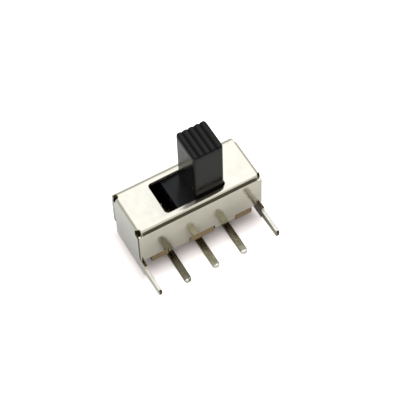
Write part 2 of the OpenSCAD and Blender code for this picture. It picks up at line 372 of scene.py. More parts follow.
def score(bm, axis, places):
    """Cuts the blank's faces along straight lines, so that it can fold there."""
    for place in places:
        point = [0, 0, 0]
        normal = [0, 0, 0]
        point[axis] = place
        normal[axis] = 1
        everything = bm.verts[:] + bm.edges[:] + bm.faces[:]
        bmesh.ops.bisect_plane(bm, geom=everything, dist=SAME_POINT, plane_co=point,
                               plane_no=normal)


def bend(bm, place):
    """Moves each point of the flat blank to its place on the folded piece."""
    for vert in bm.verts:
        vert.co = Vector(place(vert.co.x, vert.co.y, -vert.co.z))


def all_one_material(bm):
    """Gives every face the first material."""
    for face in bm.faces:
        face.material_index = OUTSIDE


def new_object(name, bm):
    """An object in the scene that takes over the mesh data."""
    mesh = bpy.data.meshes.new(name)
    bm.to_mesh(mesh)
    bm.free()
    piece = bpy.data.objects.new(name, mesh)
    scene.collection.objects.link(piece)
    return piece


def finish_mesh(name, bm, sharp=32):
    """An object from mesh data in millimetres, smooth but for edges of more than sharp degrees."""
    limit = math.radians(sharp)
    bmesh.ops.remove_doubles(bm, verts=bm.verts[:], dist=SAME_POINT)
    bmesh.ops.dissolve_degenerate(bm, edges=bm.edges[:], dist=SLIVER)
    for face in bm.faces:
        face.smooth = True
    for edge in bm.edges:
        edge.smooth = edge.is_manifold and edge.calc_face_angle(0) < limit
    bmesh.ops.scale(bm, vec=(MM, MM, MM), verts=bm.verts[:])
    return new_object(name, bm)


def stand_for(piece, node, body, materials):
    """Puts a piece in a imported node's place, on its body and with its finish."""
    for material in materials:
        piece.data.materials.append(material)
    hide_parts(node)
    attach(piece, body)


def steps(start, end, count):
    """Evenly spaced numbers from start to end, both included."""
    return [start + (end - start) * k / count for k in range(count + 1)]


# -------------------- cover

# On the flat blank u runs along the cover and v across it, both from the middle of the top. The
# folds begin here
FOLD_U = HALF_L - END_R
FOLD_V = HALF_W - FOLD_R
TAB_FOLD_Z = BOARD_Z0 - SHEET + TAB_R
# Cut faces are told apart by where their middles are, with this much to spare, and from this far
# past the start of a long fold they are on a wall
CUT_MARGIN = 0.02
ON_WALL = 0.5


def end_flat(z):
    """Distance from the middle of the flat blank to a height on an end plate."""
    return FOLD_U + END_R * QUARTER + TOP_Z - END_R - z


def wall_flat(z):
    """Distance from the middle of the flat blank to a height on a long wall."""
    return FOLD_V + FOLD_R * QUARTER + TOP_Z - FOLD_R - z


def wall_blank(fold_notch, plate_notch, plate_v):
    """Corners of half a long wall's blank, from its middle out to the notch and the end plate."""
    wall_v = wall_flat(BOARD_Z1)
    tab_v = wall_flat(TAB_FOLD_Z) + TAB_R * QUARTER + TAB_LAP
    tab_in = (TAB_PITCH - TAB_W) / 2
    tab_out = (TAB_PITCH + TAB_W) / 2
    tab = [(tab_in, wall_v), (tab_in, tab_v), (tab_out, tab_v), (tab_out, wall_v)]
    corners = [(u, v, TAB_CORNER_R) for u, v in tab]
    wall_end = (HALF_L, wall_v, SHARP_R)
    seam_start = (plate_notch[-1][0] + RUN_OUT, plate_v, NOTCH_R)
    return corners + [wall_end] + fold_notch + plate_notch + [seam_start]


def stepped_cut(step, wall_h, length):
    """Corners of the cut that takes a long fold's end away, down to a step on the wall."""
    end = HALF_L
    return [(end, wall_flat(TOP_Z - wall_h), NOTCH_R),
            (end - step, wall_flat(TOP_Z - wall_h + STEP_RISE), STEP_R),
            (end - length, FOLD_V - PAST_FOLD, SHARP_R)]


def slit_cut(ear_l, ear_v, length, slit_v):
    """Corners of a slit in a long fold, with a narrow ear of the fold left beyond it."""
    end = HALF_L
    return [(end, FOLD_V + ear_v, CRISP_R), (end - ear_l, FOLD_V + ear_v, CRISP_R),
            (end - ear_l - SLANT, FOLD_V + slit_v, CRISP_R),
            (end - length, FOLD_V + slit_v, SHARP_R), (end - length, FOLD_V - PAST_FOLD, SHARP_R)]


def deep_notch(width, height):
    """Corners of a notch in an end plate, with a slant across the end fold."""
    v = HALF_W - width
    return [(end_flat(TOP_Z - END_R), v, DEEP_NOTCH_R), (end_flat(TOP_Z - height), v, DEEP_NOTCH_R)]


def shallow_notch(width, height, length, lean=0):
    """Corners of a notch in an end plate, from the top face down past the end fold."""
    v = HALF_W - width
    return [(HALF_L - length + SLANT, v, NOTCH_R),
            (end_flat(TOP_Z - height), v + lean, NOTCH_R)]


def plate_blank(plate_back):
    """Corners of an end plate's blank, from its front shoulder round the leg to its back edge."""
    shoulder_u = end_flat(BOARD_Z1 - SHOULDER_TOP_GAP)
    leg_u0 = end_flat(LEG_Z + LEG_H / 2)
    leg_u1 = end_flat(LEG_Z - LEG_H / 2)
    tip_v = LEG_TIP_Y - MID_Y
    bottom_u = end_flat(PLATE_Z)
    return [
        (shoulder_u, -PLATE_W / 2, NOTCH_R), (shoulder_u, -MID_Y, CRISP_R),
        (leg_u0, -MID_Y, CRISP_R), (leg_u0, tip_v + LEG_CHAMFER, SHARP_R),
        (leg_u0 + LEG_CHAMFER, tip_v, SHARP_R), (leg_u1 - LEG_CHAMFER, tip_v, SHARP_R),
        (leg_u1, tip_v + LEG_CHAMFER, SHARP_R), (leg_u1, -MID_Y, CRISP_R),
        (bottom_u, -MID_Y, SHOULDER_R), (bottom_u, plate_back, PLATE_R),
    ]


def half_blank(front_notches, back_notches):
    """Corners of the right half of the cover's blank, from the front wall round to the back."""
    plate_back = HALF_W - SHEET - BACK_SEAM
    front = [(u, -v, r) for u, v, r in wall_blank(*front_notches, PLATE_W / 2)]
    back = list(reversed(wall_blank(*back_notches, plate_back)))
    return front + plate_blank(plate_back) + back


def cover_blank():
    """Corners of the whole blank, with each corner's own notches in the fold and the end plate."""
    front_left = (stepped_cut(NOTCH_STEP, NOTCH_WALL_H, NOTCH_L),
                  deep_notch(LEFT_NOTCH_W, LEFT_NOTCH_H))
    front_right = (stepped_cut(RIGHT_NOTCH_STEP, RIGHT_WALL_H, RIGHT_NOTCH_L),
                   shallow_notch(RIGHT_NOTCH_W, RIGHT_NOTCH_H, RIGHT_NOTCH_L, RIGHT_NOTCH_LEAN))
    back_left = (slit_cut(BACK_EAR_L, BACK_EAR_V, BACK_SLIT_L, BACK_SLIT_V),
                 shallow_notch(BACK_NOTCH_W, BACK_NOTCH_H, BACK_SLIT_L))
    back_right = (stepped_cut(NOTCH_STEP, RIGHT_WALL_H, RIGHT_NOTCH_L),
                  shallow_notch(BACK_NOTCH_W, BACK_NOTCH_H, RIGHT_NOTCH_L))
    right = half_blank(front_right, back_right)
    left = half_blank(front_left, back_left)
    return right + [(-u, v, r) for u, v, r in reversed(left)]


def slot_corners():
    """Corners of the slot in the top face."""
    u = SLOT_L / 2
    v = SLOT_W / 2
    return [(u, v, SLOT_R), (u, -v, SLOT_R), (-u, -v, SLOT_R), (-u, v, SLOT_R)]


def place_on_cover(u, v, depth):
    """Where a point of the flat blank lies on the folded cover."""
    beyond_end = abs(u) - FOLD_U
    beyond_wall = abs(v) - FOLD_V
    on_end = beyond_end > 0 and (beyond_wall < 0 or abs(u) > HALF_L + PLATE_FROM)
    x, y, z = u, v, TOP_Z - depth
    if on_end:
        turn = min(beyond_end / END_R, QUARTER)
        down = max(beyond_end - END_R * QUARTER, 0)
        x = math.copysign(FOLD_U + (END_R - depth) * math.sin(turn), u)
        z = TOP_Z - END_R + (END_R - depth) * math.cos(turn) - down
    elif beyond_wall > 0:
        turn = min(beyond_wall / FOLD_R, QUARTER)
        down = max(beyond_wall - FOLD_R * QUARTER, 0)
        under = down - (TOP_Z - FOLD_R - TAB_FOLD_Z)
        if under <= 0:
            y = FOLD_V + (FOLD_R - depth) * math.sin(turn)
            z = TOP_Z - FOLD_R + (FOLD_R - depth) * math.cos(turn) - down
        else:
            turn = min(under / TAB_R, QUARTER)
            along = max(under - TAB_R * QUARTER, 0)
            y = FOLD_V + FOLD_R - TAB_R + (TAB_R - depth) * math.cos(turn) - along
            z = TAB_FOLD_Z - (TAB_R - depth) * math.sin(turn)
        roll = max((abs(u) - HALF_L) / END_ROLL + 1, 0)
        y = math.copysign(y - END_ROLL_DEPTH * roll * roll * min(turn / QUARTER, 1), v)
    return x, MID_Y + y, z


def is_shaded_cut(u, v):
    """Whether the cut edge there gets painted shade: at the notches, the front seams and the leg tips.
    """
    notch_start = HALF_L - NOTCH_L - CUT_MARGIN
    seam_end = end_flat(BOARD_Z1 - SHOULDER_TOP_GAP) + CUT_MARGIN
    in_back = HALF_W - BACK_NOTCH_W - CUT_MARGIN < v < FOLD_V + ON_WALL
    on_step = v < -FOLD_V - ON_WALL and u < HALF_L - CUT_MARGIN
    in_front = v < LEFT_NOTCH_W + CUT_MARGIN - HALF_W and not on_step
    at_tip = v < LEG_TIP_Y - MID_Y + LEG_CHAMFER / 2
    return at_tip or notch_start < u < seam_end and (in_front or in_back)


def is_tinned_cut(u, v):
    """Whether tin ran over the cut edge there: front walls' steps, back ear, back right notch."""
    on_ear = v > FOLD_V and u < BACK_EAR_L - HALF_L
    at_step = HALF_L - NOTCH_STEP < abs(u) < HALF_L - CUT_MARGIN
    on_front_step = v < -FOLD_V - ON_WALL and at_step
    in_back_notch = v > 0 and u > HALF_L - RIGHT_NOTCH_L - CUT_MARGIN
    return on_ear or on_front_step or in_back_notch


def finish_cuts(bm):
    """Gives the blank's cut faces other materials where they aren't bright bare steel."""
    for face in bm.faces:
        u, v, _ = face.calc_center_median()
        if face.material_index == CUT and is_tinned_cut(u, v):
            face.material_index = OUTSIDE
        elif face.material_index == CUT and is_shaded_cut(abs(u), v):
            face.material_index = SHADED_CUT


def score_folds(bm):
    """Scores the cover's blank for its folds, and where its walls roll inwards."""
    end_arc = steps(FOLD_U, FOLD_U + END_R * QUARTER, FOLD_STEPS)
    wall_arc = steps(FOLD_V, FOLD_V + FOLD_R * QUARTER, LONG_FOLD_STEPS)
    tab_start = wall_flat(TAB_FOLD_Z)
    tab_arc = steps(tab_start, tab_start + TAB_R * QUARTER, FOLD_STEPS)
    roll = steps(HALF_L - END_ROLL, HALF_L, END_ROLL_STEPS)[:-1]
    for sign in (-1, 1):
        score(bm, 0, [sign * place for place in end_arc + roll])
        score(bm, 1, [sign * place for place in wall_arc + tab_arc])


def make_cover(materials):
    """The folded cover: top face with its slot, two walls, two end plates and four tabs."""
    bm = stamp([rounded_outline(cover_blank()), rounded_outline(slot_corners())], COVER_EDGE)
    finish_cuts(bm)
    score_folds(bm)
    bend(bm, place_on_cover)
    piece = finish_mesh("cover_sheet", bm)
    stand_for(piece, "cover", "housing", materials)


# -------------------- board

def board_corners():
    """Corners of the board, with notches for the tabs and for the walls' corners."""
    half_l = BOARD_L / 2
    half_w = BOARD_W / 2
    tab_in = (TAB_PITCH - TAB_NOTCH_L) / 2
    tab_out = (TAB_PITCH + TAB_NOTCH_L) / 2
    inner_l = half_l - BOARD_NOTCH_L
    inner_w = half_w - BOARD_NOTCH_W
    tab_w = half_w - TAB_NOTCH_W
    quarter = [
        (tab_in, half_w, CRISP_R), (tab_in, tab_w, SHARP_R), (tab_out, tab_w, SHARP_R),
        (tab_out, half_w, CRISP_R), (inner_l, half_w, SHARP_R), (inner_l, inner_w, SHARP_R),
        (half_l, inner_w, CRISP_R),
    ]
    right = [(x, -y, r) for x, y, r in quarter] + list(reversed(quarter))
    return right + [(-x, y, r) for x, y, r in reversed(right)]


def terminal_slot(x):
    """Corners of the slot that holds the terminal at that place along the board."""
    y = BLADE_Y - MID_Y
    half_l = PIN_W / 2 + PIN_PLAY
    half_w = PIN_T / 2 + PIN_PLAY
    return [(x + half_l, y + half_w, 0), (x + half_l, y - half_w, 0),
            (x - half_l, y - half_w, 0), (x - half_l, y + half_w, 0)]


def make_board(materials):
    """The laminate board, with its notches and the slots for the terminals."""
    outlines = [rounded_outline(board_corners())]
    for x in (-PITCH, 0, PITCH):
        outlines.append(rounded_outline(terminal_slot(x)))
    bm = stamp(outlines, both_faces(BOARD_HALF_EDGE, BOARD_Z1 - BOARD_Z0))
    bend(bm, lambda u, v, depth: (u, MID_Y + v, BOARD_Z1 - depth))
    all_one_material(bm)
    piece = finish_mesh("board_plate", bm)
    stand_for(piece, "board", "housing", materials)


# -------------------- terminals

BEND_Y = BLADE_Y - PIN_T / 2 - PIN_BEND_R
BEND_Z = PIN_T / 2 + PIN_BEND_R
BEND_OUTER_R = PIN_T + PIN_BEND_R


def make_terminal(side, x, materials):
    """A stamped strip with a round tip and a broad blade, bent up behind the board's slot."""
    bend_end = BEND_Y + BEND_OUTER_R * QUARTER
    blade_start = bend_end + BOARD_Z1 - BEND_Z
    blade_end = bend_end + BLADE_Z - BEND_Z
    half = PIN_W / 2
    blade = BLADE_W / 2
    strip = [
        (half, PIN_TIP_Y, PIN_TIP_R), (half, blade_start, CRISP_R),
        (blade, blade_start, BLADE_CORNER_R), (blade, blade_end, BLADE_CORNER_R),
        (-blade, blade_end, BLADE_CORNER_R), (-blade, blade_start, BLADE_CORNER_R),
        (-half, blade_start, CRISP_R), (-half, PIN_TIP_Y, PIN_TIP_R),
    ]
    bm = stamp([rounded_outline(strip, PIN_CORNER_PIECE)], both_faces(PIN_HALF_EDGE, PIN_T))
    score(bm, 1, steps(BEND_Y, bend_end, FOLD_STEPS))

    def place(u, v, depth):
        turn = min(max((v - BEND_Y) / BEND_OUTER_R, 0), QUARTER)
        up = max(v - bend_end, 0)
        radius = BEND_OUTER_R - depth
        y = min(v, BEND_Y) + radius * math.sin(turn)
        z = BEND_Z - radius * math.cos(turn) + up
        return x + u, y, z

    bend(bm, place)
    all_one_material(bm)
    piece = finish_mesh("terminal_strip_" + side, bm, sharp=40)
    stand_for(piece, "terminal_" + side, "housing", materials)


# -------------------- slider

def loft(rings):
    """A closed shell over a row of point rings."""
    bm = bmesh.new()
    verts = [[bm.verts.new(point) for point in ring] for ring in rings]
    count = len(rings[0])
    for first, second in zip(verts, verts[1:]):
        for i in range(count):
            j = (i + 1) % count
            bm.faces.new((first[i], first[j], second[j], second[i]))
    bm.faces.new(list(reversed(verts[0])))
    bm.faces.new(verts[-1])
    bmesh.ops.recalc_face_normals(bm, faces=bm.faces[:])
    return bm


def ridge_height(x):
    """Height of the ridged top at a place along the knob."""
    pitch = KNOB_L / RIDGES
    radius = ((pitch / 2) ** 2 + RIDGE_DEPTH ** 2) / (2 * RIDGE_DEPTH)
    offset = (x + KNOB_L / 2) % pitch - pitch / 2
    if abs(abs(x) - KNOB_L / 2) < SAME_POINT:
        offset = pitch / 2
    return KNOB_Z - radius + math.sqrt(radius * radius - offset * offset)


def knob_columns():
    """Places along the knob where its top has a row of points: on the ridges and at the corners."""
    columns = set()
    for x in steps(-KNOB_L / 2, KNOB_L / 2, RIDGES * RIDGE_STEPS):
        columns.add(round(x, 5))
    for angle in steps(0, QUARTER, KNOB_CORNER_STEPS):
        x = KNOB_L / 2 - KNOB_R + KNOB_R * math.sin(angle)
        columns.update((round(x, 5), round(-x, 5)))
    return sorted(columns)


def knob_row(x):
    """Points across the knob's top at a place along it, from its front edge to its back edge."""
    falls = [(KNOB_FILLET * (1 - math.cos(a)), KNOB_FILLET * (1 - math.sin(a)))
             for a in steps(0, QUARTER, KNOB_CORNER_STEPS)]
    over = max(abs(x) - (KNOB_L / 2 - KNOB_R), 0)
    half = KNOB_W / 2 - KNOB_R + math.sqrt(max(KNOB_R ** 2 - over ** 2, 0))
    front = [(-half + d, fall) for d, fall in falls]
    back = [(half - d, fall) for d, fall in reversed(falls)]
    top = ridge_height(x)
    return [(KNOB_X + x, MID_Y + y, top - fall) for y, fall in front + [(0, 0)] + back]


def knob_shell():
    """The knob: an upright block with round edges and a ridged, softly rounded top."""
    bm = bmesh.new()
    grid = [[bm.verts.new(point) for point in knob_row(x)] for x in knob_columns()]
    rows = len(grid[0])
    for i in range(len(grid) - 1):
        for j in range(rows - 1):
            bm.faces.new((grid[i][j], grid[i + 1][j], grid[i + 1][j + 1], grid[i][j + 1]))
    rim = [column[0] for column in grid]
    rim += grid[-1][1:]
    rim += [column[-1] for column in reversed(grid[:-1])]
    rim += list(reversed(grid[0][1:-1]))
    above = rim
    for z in (KNOB_Z - KNOB_RIM, CARRIER_Z1 + JOIN_ABOVE, CARRIER_Z1 - JOIN_BELOW):
        ring = [bm.verts.new((vert.co.x, vert.co.y, z)) for vert in rim]
        for i in range(len(ring)):
            j = (i + 1) % len(ring)
            bm.faces.new((above[j], above[i], ring[i], ring[j]))
        above = ring
    bm.faces.new(list(reversed(above)))
    bmesh.ops.recalc_face_normals(bm, faces=bm.faces[:])
    return bm


def carrier_shell():
    """The carrier's block, with round ends and chamfered upper edges."""
    ends = []
    for angle in steps(0, QUARTER, CARRIER_CORNER_STEPS):
        x = CARRIER_L / 2 - KNOB_R + KNOB_R * math.cos(angle)
        ends.append((x, CARRIER_W / 2 - KNOB_R + KNOB_R * math.sin(angle)))
    rings = []
    c = CARRIER_CHAMFER
    crown = c * CHAMFER_CROWN
    for x, half in [(-x, half) for x, half in ends] + list(reversed(ends)):
        section = [(-half, CARRIER_Z0), (half, CARRIER_Z0), (half, CARRIER_Z1 - c),
                   (half - crown, CARRIER_Z1 - crown), (half - c, CARRIER_Z1),
                   (c - half, CARRIER_Z1), (crown - half, CARRIER_Z1 - crown),
                   (-half, CARRIER_Z1 - c)]
        rings.append([(KNOB_X + x, MID_Y + y, z) for y, z in section])
    return loft(rings)


def hollow(length, half_width, top):
    """The core that leaves a space in the carrier, open below."""
    bottom = CARRIER_Z0 - CORE_EXCESS
    section = [(-half_width, bottom), (half_width, bottom), (half_width, top), (-half_width, top)]
    return loft([[(KNOB_X + x, BLADE_Y + y, z) for y, z in section]
                 for x in (-length / 2, length / 2)])


def moulded(body, others):
    """One shell joined with others, or cut by them. Each of them is (operation, shell)."""
    objects = [new_object("shell", body)]
    for operation, bm in others:
        objects.append(new_object("shell", bm))
        step = objects[0].modifiers.new("step", "BOOLEAN")
        step.operation = operation
        step.solver = "EXACT"
        step.object = objects[-1]
    seen = objects[0].evaluated_get(bpy.context.evaluated_depsgraph_get())
    made = bmesh.new()
    made.from_mesh(seen.to_mesh())
    seen.to_mesh_clear()
    for shell in objects:
        bpy.data.objects.remove(shell)
    return made


def make_slider(materials):
    """The black moulding: knob and carrier in one."""
    passage = hollow(CARRIER_L + CORE_EXCESS, PASSAGE_HALF, PASSAGE_Z)
    pocket = hollow(POCKET_L, POCKET_HALF, POCKET_Z)
    bm = moulded(carrier_shell(), [
        ("UNION", knob_shell()), ("DIFFERENCE", passage), ("DIFFERENCE", pocket)])
    all_one_material(bm)
    piece = finish_mesh("slider_moulding", bm, sharp=42)
    stand_for(piece, "slider", "slider", materials)


# -------------------- shader tools

def new_material(name):
    """A material with an empty node tree, and that tree."""
    material = bpy.data.materials.new(name)
    material.use_nodes = True
    material.node_tree.nodes.clear()
    return material, material.node_tree


def add(tree, kind, inputs=None, **settings):
    """A new node. Each of its inputs takes a value, or the output of another node."""
    node = tree.nodes.new(kind)
    for name, value in settings.items():
        setattr(node, name, value)
    for name, value in (inputs or {}).items():
        socket = node.inputs[name]
        if isinstance(value, bpy.types.NodeSocket):
            tree.links.new(value, socket)
        elif socket.type == "RGBA":
            socket.default_value = (*value, 1)
        else:
            socket.default_value = value
    return node


def math_node(tree, operation, a, b=0.0, clamp=False):
    """The result of one sum."""
    node = add(tree, "ShaderNodeMath", {0: a, 1: b}, operation=operation, use_clamp=clamp)
    return node.outputs[0]


def faded(tree, value, share):
    """A share of a value."""
    return math_node(tree, "MULTIPLY", value, share)


def plus(tree, value, *others):
    """A value with shares of others added to it, each of them a (value, share)."""
    for other, share in others:
        value = math_node(tree, "ADD", value, faded(tree, other, share))
    return value


def blend(tree, factor, first, second):
    """A colour between two others. The Mix node's colours are its sockets 6 and 7."""
    inputs = {0: factor, 6: first, 7: second}
    return add(tree, "ShaderNodeMix", inputs, data_type="RGBA").outputs[2]


def ramp(tree, value, low, high, to_low=0.0, to_high=1.0):
    """A value taken smoothly from one range to another."""
    inputs = {"Value": value, "From Min": low, "From Max": high,
              "To Min": to_low, "To Max": to_high}
    return add(tree, "ShaderNodeMapRange", inputs, interpolation_type="SMOOTHSTEP").outputs[0]


def millimetre_space(tree, stretch=(1, 1, 1)):
    """Coordinates on the switch in millimetres, stretched along its axes."""
    place = add(tree, "ShaderNodeTexCoord")
    scale = tuple(1 / MM / s for s in stretch)
    inputs = {0: place.outputs["Object"], 1: scale}
    return add(tree, "ShaderNodeVectorMath", inputs, operation="MULTIPLY").outputs[0]


def position(tree, axis):
    """Place along one axis of the switch, in millimetres."""
    return add(tree, "ShaderNodeSeparateXYZ", {0: millimetre_space(tree)}).outputs[axis]


def new_group(name, inputs):
    """A shader node group that makes a mask from numbers: its tree, their sockets and the mask's."""
    tree = bpy.data.node_groups.new(name, "ShaderNodeTree")
    for label, value in inputs.items():
        socket = tree.interface.new_socket(label, in_out="INPUT", socket_type="NodeSocketFloat")
        socket.default_value = value
    tree.interface.new_socket("Mask", in_out="OUTPUT", socket_type="NodeSocketFloat")
    given = tree.nodes.new("NodeGroupInput").outputs
    result = tree.nodes.new("NodeGroupOutput").inputs["Mask"]
    return tree, given, result


def mask(tree, group, values):
    """The mask that one use of a node group makes, with its own values."""
    node = tree.nodes.new("ShaderNodeGroup")
    node.node_tree = group
    for name, value in values.items():
        node.inputs[name].default_value = value
    return node.outputs["Mask"]


def end_with(tree, shader):
    """Ends a material with its shader."""
    output = tree.nodes.new("ShaderNodeOutputMaterial")
    tree.links.new(shader.outputs[0], output.inputs["Surface"])


def end_with_bumps(tree, height, strength, depth, inputs):
    """Ends a material with a surface that has bumps of a depth in millimetres."""
    bump = add(tree, "ShaderNodeBump", {"Height": height, "Strength": strength, "Distance": depth * MM})
    end_with(tree, add(tree, "ShaderNodeBsdfPrincipled", {**inputs, "Normal": bump.outputs[0]}))


# -------------------- effects, sizes in millimetres

def make_mottle():
    """Soft clouds, such as stains in plating."""
    tree, given, result = new_group("mottle", {
        "Size": 1.0, "Detail": 3.0, "Seed": 0.0, "Low": 0.35, "High": 0.65})
    noise = add(tree, "ShaderNodeTexNoise", {
        "Vector": millimetre_space(tree), "W": given["Seed"], "Detail": given["Detail"],
        "Scale": math_node(tree, "DIVIDE", 1.0, given["Size"]), "Roughness": 0.55,
    }, noise_dimensions="4D")
    tree.links.new(ramp(tree, noise.outputs["Fac"], given["Low"], given["High"]), result)
    return tree


def make_hairlines():
    """Fine lines from rolling and handling, which run along X."""
    tree, given, result = new_group("hairlines", {
        "Spacing": 0.05, "Seed": 0.0, "Low": 0.5, "High": 0.75})
    noise = add(tree, "ShaderNodeTexNoise", {
        "Vector": millimetre_space(tree, (25, 1, 1)), "W": given["Seed"], "Detail": 2.0,
        "Scale": math_node(tree, "DIVIDE", 1.0, given["Spacing"]), "Roughness": 0.6,
    }, noise_dimensions="4D")
    tree.links.new(ramp(tree, noise.outputs["Fac"], given["Low"], given["High"]), result)
    return tree


def make_edge_wear():
    """Rubbed edges. Reach is how far the wear goes, and Break is the size of the gaps in it."""
    tree, given, result = new_group("edge_wear", {
        "Reach": 0.04, "Break": 0.3, "Low": 0.05, "High": 0.35})
    radius = math_node(tree, "MULTIPLY", given["Reach"], MM)
    soft = add(tree, "ShaderNodeBevel", {"Radius": radius}, samples=6)
    true = add(tree, "ShaderNodeNewGeometry")
    alike = add(tree, "ShaderNodeVectorMath", {0: soft.outputs[0], 1: true.outputs["Normal"]},
                operation="DOT_PRODUCT").outputs["Value"]
    apart = math_node(tree, "SUBTRACT", 1.0, alike, clamp=True)
    noise = add(tree, "ShaderNodeTexNoise", {
        "Vector": millimetre_space(tree), "Detail": 3.0,
        "Scale": math_node(tree, "DIVIDE", 1.0, given["Break"])})
    gaps = ramp(tree, noise.outputs["Fac"], 0.3, 0.6, to_low=0.3, to_high=1.6)
    broken = math_node(tree, "MULTIPLY", apart, gaps)
    tree.links.new(ramp(tree, broken, given["Low"], given["High"]), result)
    return tree


def make_dust():
    """Scattered specks. Share is the part of them that shows, and Speck is the largest one's
    radius as a share of Spacing."""
    tree, given, result = new_group("dust", {"Spacing": 0.4, "Share": 0.2, "Speck": 0.1})
    cells = add(tree, "ShaderNodeTexVoronoi", {
        "Vector": millimetre_space(tree), "Randomness": 1.0,
        "Scale": math_node(tree, "DIVIDE", 1.0, given["Spacing"])})
    shade = add(tree, "ShaderNodeSeparateColor", {"Color": cells.outputs["Color"]})
    chosen = math_node(tree, "LESS_THAN", shade.outputs[0], given["Share"])
    small = math_node(tree, "MULTIPLY", given["Speck"], shade.outputs[1])
    near = math_node(tree, "LESS_THAN", cells.outputs["Distance"], small)
    tree.links.new(math_node(tree, "MULTIPLY", chosen, near), result)
    return tree


MOTTLE = make_mottle()
HAIRLINES = make_hairlines()
EDGE_WEAR = make_edge_wear()
DUST = make_dust()


# -------------------- materials

# Painted shade on the cover's inside faces: whole from the first place back, over the legs' roots and
# all the inside, and gone by the second, along the legs
SHADE_START_Y = 0.0
SHADE_END_Y = -0.5
# Painted shade: a terminal's dark brown root at the board turns into its plated strip over this stretch
ROOT_Y = 1.0
STRIP_Y = -0.6
# The tin on a pin grows towards its tip, and would be whole this far past it
TIN_PAST_TIP = 0.05
# Two layers of paper in the laminate
LAYER_PITCH = 0.11


def with_painted_shade(tree, colour, grain, painted_shade):
    """A colour with painted shade over it towards the back, at a given strength."""
    along = plus(tree, position(tree, "Y"), (grain, 0.2))
    shade_share = ramp(tree, along, SHADE_END_Y, SHADE_START_Y, 0.0, painted_shade)
    return blend(tree, shade_share, colour, INSIDE_SHADE)


def tinned_sheet(name, bright, cloudy, smooth, rough, wave, painted_shade=0.0):
    """Plated sheet with soft clouds, rolling lines, slight waves, rubbed edges and, if given, painted
    shade towards the back.
    """
    material, tree = new_material(name)
    clouds = mask(tree, MOTTLE, {"Size": 1.1, "Detail": 4.0, "Seed": 1.7})
    grain = mask(tree, MOTTLE, {"Size": 0.06, "Detail": 3.0, "Seed": 4.2})
    lines = mask(tree, HAIRLINES, {"Spacing": 0.05, "Seed": 2.0})
    worn = mask(tree, EDGE_WEAR, {"Reach": 0.05, "Break": 0.25})
    waves = mask(tree, MOTTLE, {
        "Size": 2.4, "Detail": 1.0, "Seed": 9.1, "Low": 0.0, "High": 1.0})
    colour = blend(tree, clouds, bright, cloudy)
    colour = blend(tree, faded(tree, grain, 0.12), colour, cloudy)
    # Painted shade over the colour, where a strength is given
    if painted_shade:
        colour = with_painted_shade(tree, colour, grain, painted_shade)
    roughness = plus(tree, ramp(tree, clouds, 0, 1, smooth, rough), (worn, 0.1), (lines, 0.04))
    height = plus(tree, faded(tree, lines, 0.05), (waves, wave), (grain, 0.03))
    end_with_bumps(tree, height, 1.0, 0.01, {
        "Base Color": colour, "Metallic": 1.0, "Roughness": roughness})
    return material


def sheared_edge(name, bright, torn):
    """A cut edge: bright metal with duller, torn marks."""
    material, tree = new_material(name)
    tears = mask(tree, MOTTLE, {
        "Size": 0.05, "Detail": 5.0, "Seed": 3.0, "Low": 0.4, "High": 0.6})
    patches = mask(tree, MOTTLE, {"Size": 0.2, "Detail": 2.0, "Seed": 6.0})
    end_with_bumps(tree, tears, 0.6, 0.01, {
        "Base Color": blend(tree, tears, bright, torn), "Metallic": 1.0,
        "Roughness": ramp(tree, patches, 0, 1, 0.3, 0.5)})
    return material


def terminal_finish(name, plating_and_reflection_grey, tin_and_highlight_reach):
    """Plated strip, darkened towards its root by painted shade, whose end is brightly tinned, over a
    given reach from its tip.
    """
    material, tree = new_material(name)
    blot = mask(tree, MOTTLE, {
        "Size": 0.35, "Detail": 4.0, "Seed": 5.0, "Low": 0.3, "High": 0.7})
    grain = mask(tree, MOTTLE, {"Size": 0.05, "Detail": 3.0, "Seed": 8.0})
    worn = mask(tree, EDGE_WEAR, {"Reach": 0.08, "Break": 0.2})
    lines = mask(tree, HAIRLINES, {"Spacing": 0.03, "Seed": 7.0})
    wander = math_node(tree, "SUBTRACT", blot, 0.5)
    along = plus(tree, position(tree, "Y"), (wander, 0.5))
    # Painted shade: the strip darkens to brown towards its root at the board
    root = blend(tree, blot, SHADED_DARK_BRASS, SHADED_BRASS)
    blotted = tuple(plating_and_reflection_grey * part for part in PLATING_BLOT)
    plated = tuple(plating_and_reflection_grey * part for part in PLATING)
    strip = blend(tree, blot, blotted, plated)
    colour = blend(tree, ramp(tree, along, ROOT_Y, STRIP_Y), root, strip)
    colour = blend(tree, faded(tree, worn, 0.5), colour, RUBBED_PLATING)
    # The bright tinned end also carries a painted highlight, over the right pin's long reach
    tinned = ramp(tree, along, PIN_TIP_Y + tin_and_highlight_reach, PIN_TIP_Y - TIN_PAST_TIP)
    height = plus(tree, faded(tree, grain, 0.3), (lines, 0.3))
    end_with_bumps(tree, height, 0.7, 0.004, {
        "Base Color": blend(tree, tinned, colour, SOLDER), "Metallic": 1.0,
        "Roughness": ramp(tree, blot, 0, 1, 0.2, 0.34)})
    return material


def laminate_board(name):
    """Brown phenolic paper: thin layers that show at the edges and a flecked face."""
    material, tree = new_material(name)
    fleck = mask(tree, MOTTLE, {"Size": 0.12, "Detail": 5.0, "Seed": 2.5})
    cloud = mask(tree, MOTTLE, {"Size": 0.8, "Detail": 3.0, "Seed": 3.5})
    level = plus(tree, position(tree, "Z"), (fleck, 0.03))
    wave = math_node(tree, "SINE", math_node(tree, "MULTIPLY", level, 2 * math.pi / LAYER_PITCH))
    layers = ramp(tree, wave, -0.4, 0.9)
    colour = blend(tree, cloud, LAMINATE, LAMINATE_CLOUD)
    colour = blend(tree, faded(tree, layers, 0.45), colour, LAMINATE_LAYER)
    colour = blend(tree, faded(tree, fleck, 0.25), colour, LAMINATE_FLECK)
    end_with_bumps(tree, plus(tree, fleck, (layers, 0.5)), 0.6, 0.01, {
        "Base Color": colour, "Roughness": ramp(tree, fleck, 0, 1, 0.5, 0.7)})
    return material


